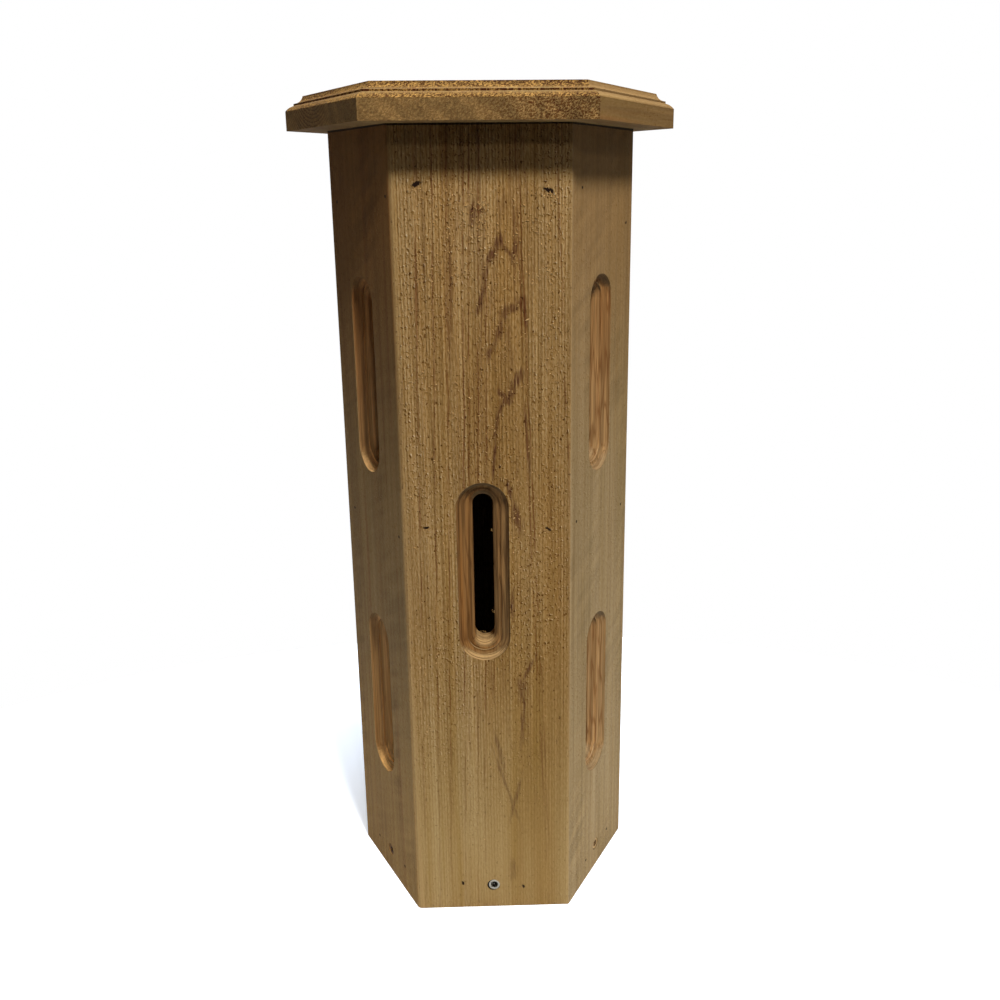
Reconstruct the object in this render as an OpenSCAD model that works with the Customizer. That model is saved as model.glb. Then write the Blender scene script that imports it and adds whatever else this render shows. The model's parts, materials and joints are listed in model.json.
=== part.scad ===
// Butterfly house: a tall six-sided cedar box that stands on the feet of its own walls.
// Six mitred boards make the walls, and a floor board is screwed between their feet.
// The roof board has an ogee routed along its edge, and each slot for the butterflies
// has the same ogee routed round it. Millimetres; the front faces -Y and +Z is up.

/* [Walls] */
// Height of the wall boards
wall_h = 508; // [440:1:620]
// Outside width of the front and the back board
front_w = 101.6; // [90:0.1:130]
// Outside width of the four side boards
side_w = 88.9; // [80:0.1:120]
// Thickness of the wall boards
wall_t = 19; // [16:0.5:22]
// Radius of the sanded arris between two boards
arris_r = 1.5; // [0.5:0.1:3]
// Radius of the front left arris, which was rubbed rounder
rubbed_r = 4; // [2:0.1:6]

/* [Slots] */
// Width of a slot where it goes right through
slot_w = 12.7; // [10:0.1:15]
// Straight run of the cutter between the two round ends of a single or a lower slot
slot_run = 85.5; // [60:0.5:95]
// Straight run of the cutter in an upper slot, which is a little longer
upper_slot_run = 92; // [60:0.5:100]
// How far the slots lie to the right of the middle of their boards, or to the left below 0
slot_shift = -2.6; // [-4:0.1:4]
// Height of the middle of a single slot
single_slot_z = 243.7; // [200:0.1:280]
// Height of the middle of the lower slot, where a board has two
lower_slot_z = 140; // [120:1:150]
// Height of the middle of the upper slot, where a board has two
upper_slot_z = 360.5; // [320:0.5:370]

/* [Ogee] */
// Width of the hollow next to the face
hollow_w = 5.1; // [4:0.1:6]
// Depth of the hollow
hollow_d = 4.5; // [3:0.1:5]
// Height of the small step between the hollow and the round
step_d = 1.2; // [0.4:0.1:1.6]
// Width of the round next to the straight edge
round_w = 4.6; // [3:0.1:5]
// Depth of the round
round_d = 3.3; // [2:0.1:4]
// How far the hollow bows in from a straight line
hollow_bow = 1.2; // [0.3:0.1:1.4]
// How far the round bows out from a straight line
round_bow = 0.5; // [0.3:0.1:1]

/* [Roof] */
// Overhang of the roof board all round
overhang = 21.6; // [15:0.1:30]
// Thickness of the roof board
roof_t = 20.5; // [16:0.5:25]

/* [Floor] */
// Thickness of the floor board
floor_t = 19; // [16:0.5:22]
// Height of the underside of the floor board above the feet of the walls
floor_lift = 7.5; // [4:0.5:15]

/* [Screws] */
// Diameter of a screw's head
screw_head_d = 8.4; // [7:0.1:9.5]
// Diameter of a screw's shank
screw_shank_d = 4.2; // [3.5:0.1:4.8]
// Length of a screw
screw_len = 38; // [32:1:45]
// Depth of the head below the face of the board
screw_sink = 0.6; // [0.2:0.1:1.5]

/* [Hidden] */

$fn = 48;

// The sides are numbered round from the front, anticlockwise as seen from above
FRONT = 0;
FRONT_RIGHT = 1;
BACK_RIGHT = 2;
BACK = 3;
BACK_LEFT = 4;
FRONT_LEFT = 5;
side_count = 6;
side_turn = 360 / side_count;
mitre = tan(side_turn / 2);

// The slots of a board, each as [height of its middle, straight run of the cutter]
no_slot = [];
one_slot = [[single_slot_z, slot_run]];
two_slots = [[lower_slot_z, slot_run], [upper_slot_z, upper_slot_run]];

// From the middle of the house to the face of a board, and to its left and right corners
half_depth = side_w * sin(side_turn);
half_span = front_w / 2 + side_w * cos(side_turn);
side_reach = front_w / 2 * sin(side_turn) + half_depth * cos(side_turn);

ogee_w = hollow_w + round_w;
ogee_d = hollow_d + step_d + round_d;
arc_steps = 6;
past = 1;

screw_z = floor_lift + floor_t / 2;
screw_cone_h = (screw_head_d - screw_shank_d) / 2;
screw_tip_h = 7;
screw_gap = 0.1;
drive_w = 1.1;
drive_span = 4.8;
drive_d = 2;

cedar_rough = "#a58354";
cedar_planed = "#9d8662";
cedar_end_grain = "#8f6e45";
zinc = "#b9bbbd";

function faces_y(side) = side % 3 == 0;
function board_w(side) = faces_y(side) ? front_w : side_w;
function reach_of(side) = faces_y(side) ? half_depth : side_reach;
function arris_of(joint) = joint == FRONT_LEFT ? rubbed_r : arris_r;

// The middle of a side board is off the line from the middle of the house, because
// the front and the back board are wider
function shift_of(side) =
    faces_y(side) ? 0 : (side % 3 == 1 ? 1 : -1) * (front_w - side_w) / 4;

// Corners of the hexagon that lies d outside the faces of the walls
function hexagon(d) =
    let (y = half_depth + d, x = front_w / 2 + d * mitre, far_x = half_span + d / cos(side_turn / 2))
    [[x, -y], [far_x, 0], [x, y], [-x, y], [-far_x, 0], [-x, -y]];

// Half of a rounded arris, from the mitre to where the face is flat, measured from the
// sharp corner as [distance along the face, depth below it]
function arris(r) = [for (i = [0 : arc_steps])
    let (a = side_turn / 2 * (1 - i / arc_steps))
    [r * mitre - r * sin(a), r - r * cos(a)]];

// A bowed line from a to b; it bows to the left of that direction where by is positive
function bowed(a, b, by) =
    let (along = (b - a) / norm(b - a), left = [-along[1], along[0]])
    [for (i = [0 : arc_steps]) let (t = i / arc_steps)
        a + (b - a) * t + left * by * 4 * t * (1 - t)];

// The ogee as [distance out from the straight edge, depth below the face]: a hollow
// next to the face, a small step, and a round down to the straight edge
function ogee() = concat(
    bowed([ogee_w, 0], [round_w, hollow_d], -hollow_bow),
    bowed([round_w, hollow_d + step_d], [0, ogee_d], round_bow));

// Places what is modelled with its face on y = 0, looking along -Y, on one of the sides
module on_side(side) {
    rotate([0, 0, side * side_turn])
        translate([shift_of(side), -reach_of(side), 0])
            children();
}

// Half of the slot's section, with the ogee between the face and the straight sides
function slot_section() = concat(
    [[0, -past], [slot_w / 2 + ogee_w, -past]],
    [for (p = ogee()) [slot_w / 2 + p[0], p[1]]],
    [[slot_w / 2, wall_t + past], [0, wall_t + past]]);

// What the cutter takes out: a straight run with the half section turned round each end
module slot_cut(run) {
    half = slot_section();
    linear_extrude(height = run, center = true) {
        polygon(half);
        mirror([1, 0]) polygon(half);
    }
    for (up = [0, 1])
        mirror([0, 0, up])
            translate([0, 0, -run / 2])
                rotate([-90, 0, 0])
                    rotate_extrude(angle = 180)
                        polygon(half);
}

// The countersunk clearance hole for a floor screw, from the face of the board inwards
module screw_hole(depth) {
    translate([0, 0, screw_z])
        rotate([-90, 0, 0]) {
            translate([0, 0, -past])
                cylinder(h = past + screw_sink, d = screw_head_d + 2 * screw_gap);
            translate([0, 0, screw_sink])
                cylinder(h = screw_cone_h + screw_gap,
                         d1 = screw_head_d + 2 * screw_gap, d2 = screw_shank_d);
            cylinder(h = depth, d = screw_shank_d + 2 * screw_gap);
        }
}

// A wall board with mitred edges, its slots and its screw hole
module wall(side, slots) {
    w = board_w(side);
    inner = w / 2 - wall_t * mitre;
    left = arris(arris_of((side + side_count - 1) % side_count));
    right = arris(arris_of(side));
    on_side(side)
        difference() {
            linear_extrude(height = wall_h)
                polygon(concat(
                    [[-inner, wall_t]],
                    [for (p = left) [-w / 2 + p[0], p[1]]],
                    [for (i = [len(right) - 1 : -1 : 0]) [w / 2 - right[i][0], right[i][1]]],
                    [[inner, wall_t]]));
            for (slot = slots)
                translate([slot_shift, 0, slot[0]])
                    slot_cut(slot[1]);
            screw_hole(wall_t + past);
        }
}

// A flat head wood screw with a cross recess, seated in its countersink
module screw(side) {
    on_side(side)
        translate([0, screw_sink, screw_z])
            rotate([-90, 0, 0])
                difference() {
                    rotate_extrude()
                        polygon([[0, 0], [screw_head_d / 2, 0],
                                 [screw_shank_d / 2, screw_cone_h],
                                 [screw_shank_d / 2, screw_len - screw_tip_h], [0, screw_len]]);
                    for (turn = [45, 135])
                        rotate([0, 0, turn])
                            translate([-drive_span / 2, -drive_w / 2, -past])
                                cube([drive_span, drive_w, past + drive_d]);
                }
}

module wall_front() {
    color(cedar_rough) wall(FRONT, one_slot);
}

module wall_front_right() {
    color(cedar_planed) wall(FRONT_RIGHT, two_slots);
}

module wall_back_right() {
    color(cedar_planed) wall(BACK_RIGHT, one_slot);
}

// The back board is plain, so nothing is cut opposite the front slot
module wall_back() {
    color(cedar_rough) wall(BACK, no_slot);
}

module wall_back_left() {
    color(cedar_planed) wall(BACK_LEFT, one_slot);
}

module wall_front_left() {
    color(cedar_planed) wall(FRONT_LEFT, two_slots);
}

// The floor fills the inside of the walls, and takes one screw from each of them
module floor_board() {
    color(cedar_planed)
        difference() {
            translate([0, 0, floor_lift])
                linear_extrude(height = floor_t)
                    polygon(hexagon(-wall_t));
            for (side = [FRONT : FRONT_LEFT])
                on_side(side)
                    screw_hole(screw_len + screw_sink + past);
        }
}

// The roof is the overlap of three routed boards, one across each pair of sides
module roof_board() {
    section = [for (p = ogee()) [-p[0], roof_t - p[1]]];
    color(cedar_end_grain)
        translate([0, 0, wall_h])
            intersection_for (side = [FRONT : BACK_RIGHT]) {
                edge = reach_of(side) + overhang;
                rotate([90, 0, side * side_turn + 90])
                    linear_extrude(height = 2 * (half_span + 2 * overhang), center = true)
                        polygon(concat(
                            [[-edge, 0], [edge, 0]],
                            [for (i = [len(section) - 1 : -1 : 0])
                                [edge + section[i][0], section[i][1]]],
                            [for (p = section) [-edge - p[0], p[1]]]));
            }
}

module screw_front() {
    color(zinc) screw(FRONT);
}

module screw_front_right() {
    color(zinc) screw(FRONT_RIGHT);
}

module screw_back_right() {
    color(zinc) screw(BACK_RIGHT);
}

module screw_back() {
    color(zinc) screw(BACK);
}

module screw_back_left() {
    color(zinc) screw(BACK_LEFT);
}

module screw_front_left() {
    color(zinc) screw(FRONT_LEFT);
}

wall_front();
wall_front_right();
wall_back_right();
wall_back();
wall_back_left();
wall_front_left();
floor_board();
roof_board();
screw_front();
screw_front_right();
screw_back_right();
screw_back();
screw_back_left();
screw_front_left();
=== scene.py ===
"""Looks of the butterfly house: six mitred cedar boards, a floor and an ogee-edged roof."""

from __future__ import annotations

import json
import logging
import math
import random
from dataclasses import dataclass, replace
from enum import Enum
from functools import partial

import bmesh
import bpy
from mathutils import Matrix, Vector

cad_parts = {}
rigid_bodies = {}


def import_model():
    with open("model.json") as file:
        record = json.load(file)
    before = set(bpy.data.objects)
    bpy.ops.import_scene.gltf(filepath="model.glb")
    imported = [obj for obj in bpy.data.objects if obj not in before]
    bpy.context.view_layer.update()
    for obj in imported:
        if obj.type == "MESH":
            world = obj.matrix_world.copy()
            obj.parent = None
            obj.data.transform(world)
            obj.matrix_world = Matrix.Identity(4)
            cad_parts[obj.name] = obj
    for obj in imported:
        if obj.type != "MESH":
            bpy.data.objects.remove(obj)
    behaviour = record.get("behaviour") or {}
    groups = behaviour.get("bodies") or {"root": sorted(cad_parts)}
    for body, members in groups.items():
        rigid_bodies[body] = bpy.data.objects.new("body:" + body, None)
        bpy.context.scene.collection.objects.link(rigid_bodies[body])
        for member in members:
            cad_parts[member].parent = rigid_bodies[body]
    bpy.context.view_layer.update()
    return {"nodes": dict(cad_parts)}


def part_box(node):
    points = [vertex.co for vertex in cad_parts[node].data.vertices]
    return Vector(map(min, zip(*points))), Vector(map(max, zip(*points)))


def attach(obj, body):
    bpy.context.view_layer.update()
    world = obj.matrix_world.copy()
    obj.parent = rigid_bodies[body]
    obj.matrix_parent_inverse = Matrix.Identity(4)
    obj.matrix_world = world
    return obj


for stray in list(bpy.data.objects):
    bpy.data.objects.remove(stray)
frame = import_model()

log = logging.getLogger("butterfly_house")

MM = 0.001
SIDE_TURN = math.radians(60)
WHITE = "#ffffff"

# What a node does unless a call says otherwise: it mixes colours and multiplies numbers. A
# MapRange takes a value, the ends of its range and what it gives at each, 0 and 1 if not said.
USUAL_SETTINGS = {"Mix": {"data_type": "RGBA"}, "Math": {"operation": "MULTIPLY"}}
Node = bpy.types.Node
Value = Node | bpy.types.NodeSocket | tuple[float, ...] | float


def linear(colour: str) -> tuple[float, float, float, float]:
    """Turns an sRGB hex colour into linear light.

    Args:
        colour: six hex digits after a hash.

    Returns:
        Red, green, blue and an alpha of 1.
    """
    parts = [int(colour[i : i + 2], 16) / 255 for i in (1, 3, 5)]
    r, g, b = [c / 12.92 if c <= 0.04045 else ((c + 0.055) / 1.055) ** 2.4 for c in parts]
    return r, g, b, 1.0


def add_node(
    tree: bpy.types.NodeTree,
    kind: str,
    inputs: dict[str, Value] | list[Value] | None = None,
    **settings: object,
) -> Node:
    """Adds a node with its settings and links.

    Args:
        tree: the node tree it goes in.
        kind: Blender's name of the node's type, without ShaderNode, and its operation if any.
        inputs: a value, or the socket or node it comes from, for each input by name or in order.
        **settings: the node's own properties.

    Returns:
        The new node.
    """
    kind, _, operation = kind.partition(" ")
    settings = {**USUAL_SETTINGS.get(kind, {}), **settings}
    if operation:
        settings["operation"] = operation
    node = tree.nodes.new("ShaderNode" + kind)
    for name, value in settings.items():
        setattr(node, name, value)
    for key, value in inputs.items() if isinstance(inputs, dict) else enumerate(inputs or []):
        named = [s for s in node.inputs if s.name == key and s.enabled]
        socket = named[0] if named else node.inputs[key]
        if isinstance(value, Node):
            value = next(s for s in value.outputs if s.enabled)
        if isinstance(value, bpy.types.NodeSocket):
            tree.links.new(value, socket)
        else:
            socket.default_value = value
    return node


def new_tree(name: str) -> tuple[bpy.types.Material, partial]:
    """Makes a material with an empty node tree.

    Args:
        name: the material's name.

    Returns:
        The material, and add_node for its tree.
    """
    material = bpy.data.materials.new(name)
    material.use_nodes = True
    material.node_tree.nodes.clear()
    return material, partial(add_node, material.node_tree)


def put(name: str, data: bpy.types.ID) -> bpy.types.Object:
    """Makes an object and puts it in the scene.

    Args:
        name: its name.
        data: its mesh, lamp or camera.

    Returns:
        The object.
    """
    thing = bpy.data.objects.new(name, data)
    bpy.context.scene.collection.objects.link(thing)
    return thing


def dress(node: str, finish: Cedar | ZincSteel) -> None:
    """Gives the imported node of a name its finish."""
    frame["nodes"][node].material_slots[0].material = finish.material()
    log.info("dressed %s", node)


def direction(azimuth: float, elevation: float) -> Vector:
    """Turns two angles into a direction.

    Args:
        azimuth: degrees from the front, anticlockwise as seen from above.
        elevation: degrees above level.

    Returns:
        The direction, of length 1.
    """
    turn, rise = math.radians(azimuth), math.radians(elevation)
    return Vector((math.sin(turn) * math.cos(rise), -math.cos(turn) * math.cos(rise), math.sin(rise)))


def each(kind: type, *rows: tuple[float, ...]) -> tuple:
    """Makes one of a kind from each row of numbers, which are in the order of its fields."""
    return tuple(kind(*row) for row in rows)


class Side(Enum):
    """The six sides, numbered round from the front, anticlockwise as seen from above."""

    FRONT = 0
    FRONT_RIGHT = 1
    BACK_RIGHT = 2
    BACK = 3
    BACK_LEFT = 4
    FRONT_LEFT = 5

    @property
    def node(self) -> str:
        """The CAD node of the board on this side."""
        return f"wall_{self.name.lower()}"

    @property
    def across(self) -> Vector:
        """The direction to the right across the board, as seen from outside."""
        turn = self.value * SIDE_TURN
        return Vector((math.cos(turn), math.sin(turn), 0))

    @property
    def inwards(self) -> Vector:
        """The direction into the board."""
        return Vector((0, 0, 1)).cross(self.across)


@dataclass(frozen=True)
class Lie:
    """How a board lies in the house: where its own axes point, and its own zero point.

    In board coordinates x runs across the face, y from the face into the wood and z along
    the grain, all in millimetres.
    """

    across: Vector
    inwards: Vector
    zero: Vector

    @property
    def grain(self) -> Vector:
        """The direction of the grain."""
        return self.across.cross(self.inwards)

    @property
    def turn(self) -> Matrix:
        """The matrix that turns the house's directions into the board's."""
        return Matrix((self.across, self.inwards, self.grain))

    def point(self, x: float, y: float, z: float) -> Vector:
        """Takes board coordinates to a place in the house, in metres."""
        return self.zero + (self.across * x + self.inwards * y + self.grain * z) * MM


@dataclass(frozen=True)
class House:
    """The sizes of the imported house, in millimetres, worked out from its CAD nodes."""

    wall_height: float
    half_depth: float
    front_width: float
    side_width: float
    roof_top: float

    @classmethod
    def measured(cls) -> House:
        """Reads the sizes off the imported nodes.

        Returns:
            The sizes.
        """
        low, high = (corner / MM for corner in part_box("wall_front"))
        _, floor_high = (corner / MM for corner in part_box("floor_board"))
        _, roof_high = (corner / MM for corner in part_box("roof_board"))
        half_depth = -low.y
        side_width = half_depth / math.sin(SIDE_TURN)
        thick = half_depth - floor_high.y
        half_span = floor_high.x + thick / math.cos(SIDE_TURN / 2)
        front_width = 2 * (half_span - side_width * math.cos(SIDE_TURN))
        return cls(high.z, half_depth, front_width, side_width, roof_high.z)

    def width(self, side: Side) -> float:
        """The outside width of the board on a side."""
        return self.front_width if side.value % 3 == 0 else self.side_width

    def lie(self, side: Side) -> Lie:
        """Works out how the board on a side lies: its zero is the foot of the middle of its face.

        Args:
            side: the side.

        Returns:
            How it lies.
        """
        if side.value % 3 == 0:
            reach, shift = self.half_depth, 0.0
        else:
            reach = self.front_width / 2 * math.sin(SIDE_TURN) + self.half_depth * math.cos(SIDE_TURN)
            shift = (self.front_width - self.side_width) / 4 * (1 if side.value % 3 == 1 else -1)
        return Lie(side.across, side.inwards, (side.across * shift - side.inwards * reach) * MM)

    def roof_lie(self) -> Lie:
        """Works out how the roof board lies: its grain runs from front left to back right.

        Returns:
            How it lies.
        """
        turn = SIDE_TURN - math.pi / 2
        across = Vector((math.cos(turn), math.sin(turn), 0))
        return Lie(across, Vector((0, 0, -1)), Vector((0, 0, self.roof_top * MM)))


@dataclass(frozen=True)
class Tooling:
    """What the last tool left on a face.

    Ridge and grit are heights in millimetres: the ridges run along the grain and the grit is
    the raised fibre between them. Contrast is how strongly lines and grit show, torn the share
    of the dark dashes of torn fibre and of the lifted flecks, lighter partly as a painted
    highlight and with a painted shadow beside each, calm what is left of it all at the foot of
    the board, and curl how strongly a wavy figure shows.
    """

    ridge: float
    grit: float
    contrast: float
    torn: float
    calm: float
    curl: float


class Surface(Enum):
    """How the outer face of a board was left."""

    SAWN = Tooling(ridge=0.15, grit=0.2, contrast=0.8, torn=1.0, calm=0.4, curl=0.0)
    PLANED = Tooling(ridge=0.03, grit=0.07, contrast=0.38, torn=0.35, calm=1.0, curl=0.2)


@dataclass(frozen=True)
class Noise:
    """A noise in board coordinates, stretched so that its level low gives 0 and high gives 1.

    Per_mm is how fast it changes across, into and along the board: one over the size of what
    it draws, in millimetres. Detail is how many octaves of finer noise it has, harsh how
    strong those are, and bent how far they bend it.
    """

    per_mm: tuple[float, float, float]
    low: float = 0.35
    high: float = 0.65
    detail: float = 2.0
    harsh: float = 0.5
    bent: float = 0.0


@dataclass(frozen=True)
class Lines:
    """Thin lines where a noise crosses its middle level: how fast it changes, and their reach from it."""

    per_mm: tuple[float, float, float]
    reach: float


# What the tool left. Raised grit is drawn 0.9 mm wide and lifted fibre 1.2 mm, both coarser
# than real so that they show. Lifted fibre is painted lighter, partly for its paler colour and
# partly as a painted highlight, and its painted shadow lies a little to one side of it.
RIDGES = Noise((0.62, 0.5, 0.004), 0.33, 0.67, 2.5)
ROW_AREAS = Noise((0.07, 0.07, 0.006), 0.3, 0.52)
ODD_GROOVES = Lines((0.4, 0.35, 0.0028), 0.06)
GRIT = Noise((1.1, 1.1, 0.3), 0.3, 0.7)
TORN = Noise((0.55, 0.55, 0.36), 0.675, 0.71, 1.0)
LIFT_AREAS = Noise((0.03, 0.03, 0.011), 0.36, 0.6)
LIFTED = Noise((0.85, 0.85, 0.55), 0.62, 0.69, 1.5, bent=0.7)
SHADED = replace(LIFTED, low=0.58, high=0.66)
SHADE_SHIFT = (0.6, 0.0, 0.5)

# The rows of grooves: stretched along the grain, and a scale that sets them 1.9 mm apart.
ROW_STRETCH = (1.0, 0.6, 0.005)
ROW_SCALE = 0.165

# Growth rings are drawn to wander over 50 mm across the board, and to fray over 1.2 mm.
RING_SWAY = Noise((0.02, 0.02, 0.004), 0.0, 1.0, 1.0)
RING_FRAY = Noise((0.8, 0.8, 0.035), 0.0, 1.0, 2.5)
LATE_PATCHES = Noise((0.12, 0.12, 0.022), 0.36, 0.6)

# The colour of a face, from areas 20 mm wide down to fibres, which are drawn 0.8 mm wide,
# much coarser than real so that they show.
DEEP_AREAS = Noise((0.045, 0.045, 0.003))
STREAKS = Noise((0.11, 0.11, 0.0035), 0.52, 0.72)
BANDS = Noise((0.24, 0.24, 0.006), detail=1.0)
DARK_LINES = Lines((0.11, 0.11, 0.0022), 0.02)
LINE_AREAS = Noise((0.3, 0.3, 0.014), 0.38, 0.6)
FLAME_FRAY = Noise((0.8, 0.8, 0.06), 0.25, 0.75, 4.0)
FLAME_FIBRE = Noise((1.3, 1.3, 0.12), 0.36, 0.62, 3.0)
VEIN_SWAY = Noise((0.03, 0.03, 0.035), 0.2, 0.8)
VEIN_BREAKS = Noise((0.2, 0.2, 0.03), 0.36, 0.6, 4.0)
WAVY_FIGURE = Noise((0.02, 0.05, 0.12), 0.3, 0.7, 1.5)
WAVY_AREAS = Noise((0.03, 0.03, 0.008), 0.4, 0.7, 1.0)
ARRIS_WAVE = Noise((0.05, 0.05, 0.03), 0.25, 0.75)
# The wave of the painted black line under the roof.
ROOF_GAP_SHADE_WAVE = Noise((0.012, 0.012, 0.0), 0.3, 0.7, 1.0)
# The fray of the painted shade of nail holes.
HOLE_FRAY = Noise((0.9, 0.9, 0.9), 0.2, 0.8, 3.0)

# The routed slots: the cutter's rings are drawn about 1.2 mm apart in depth.
WARM_AREAS = Noise((0.1, 0.22, 0.006), 0.45, 0.7)
CUTTER_RINGS = Noise((0.03, 0.8, 0.012), 0.38, 0.62, 3.0, harsh=0.7)
RING_LINES = Lines((0.3, 0.42, 0.022), 0.1)
SILL_ARCS = Lines((0.04, 0.9, 0.02), 0.1)

# The roof's end grain. A torn fibre is drawn 1.2 mm wide, coarser than real so that it shows.
FIBRES = Noise((0.85, 1.6, 0.85), 0.46, 0.56, 3.0, bent=0.6)
PITS = Noise((0.95, 0.7, 0.95), 0.57, 0.61, 3.0)
PIT_AREAS = Noise((0.07, 0.1, 0.07), 0.35, 0.6)
FLECKS = Noise((1.0, 0.85, 1.0), 0.42, 0.35)
COLUMNS = Noise((0.1, 0.0, 0.1), detail=1.5)
BLOTCHES = Noise((0.05, 0.16, 0.05), 0.36, 0.64, 3.0)
DOTS = Noise((0.62, 0.1, 0.62), 0.5, 0.57, 1.0)

# Heights on a wall, in millimetres: over which it turns rough, the painted shade of its top
# under the roof comes in and that of its foot goes out, and at which the places of veins are given.
ROUGH = (50.0, 195.0)
ROOF_SHADE_HEIGHTS = (260.0, 480.0)
FOOT = (230.0, 70.0)
VEIN_HEIGHT = 350.0

# Widths on a wall, in millimetres: how far veins are drawn to each side and half the width of
# one, how far from a slot's middle its routed wood reaches, and, from there, over which its
# left side takes its painted shade and its right side its paler tint, painted light where it lies in shade.
VEIN_SPAN = 50.0
VEIN_REACH = 0.75
SLOT_REACH = 18.0
SLOT_RIM = (-8, -12)
SLOT_LIFT = (5, 7)

# Where veins turn, across the board in millimetres, and how far they lean on either side.
VEIN_LEAN = (0.0, 24.0, -0.02, 0.04)

# How deep a spot goes into the board, in millimetres, what share of its size it covers in
# full, and a share that is beyond every spot.
SPOT_DEPTH = 12.0
SPOT_CORE = 0.7
BEYOND = 9.0

# The depth of the ogee's step, in millimetres, the share of a year at which its late wood
# stops, and how near the heart the arches close.
STEP_DEPTH = 5.1
LATE_END = 0.93
AT_HEART = (0.6, 0.95)


@dataclass(frozen=True)
class GrowthRings:
    """Where a board lay in its log, in millimetres.

    Width is a year's. The pith runs along the board at the place heart across it, and deep
    behind its face. For about spread to each side of it, it lies lean times the square of the
    distance from the height mid deeper, so that the rings close in arches there. Waver is how
    far the rings wander and ragged how far their borders do. Core is how dark the late wood is
    at the heart at least, and early the share of a year before it. Phase is the share of a
    year at the pith, and seed shifts the noises.
    """

    width: float
    phase: float
    heart: float
    deep: float
    lean: float = 0.0
    mid: float = 250.0
    spread: float = 32.0
    waver: float = 1.0
    ragged: float = 0.4
    core: float = 0.6
    early: float = 0.72
    seed: float = 0.0


@dataclass(frozen=True)
class Tones:
    """Colours of air-dried western red cedar.

    Pale and deep are the early wood's, late is the late wood's and flame the same where an
    arch closes. Streak is that of the odd warm or olive streak. Fresh is that of routed wood,
    with warm streaks, and line that of the late wood in it. Vein is that of the darkest lines
    and hole the painted shade of a nail hole, which the mesh doesn't have.
    """

    pale: str
    deep: str
    late: str
    flame: str
    streak: str
    fresh: str = "#7c5830"
    warm: str = "#8a5520"
    line: str = "#422610"
    vein: str = "#5e2e0a"
    hole: str = "#1c0e06"


@dataclass(frozen=True)
class Spot:
    """A spot on a face: its place, half its width and height, and its lean to the right in degrees."""

    x: float
    z: float
    width: float = 1.0
    height: float = 1.0
    lean: float = 0.0


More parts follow.
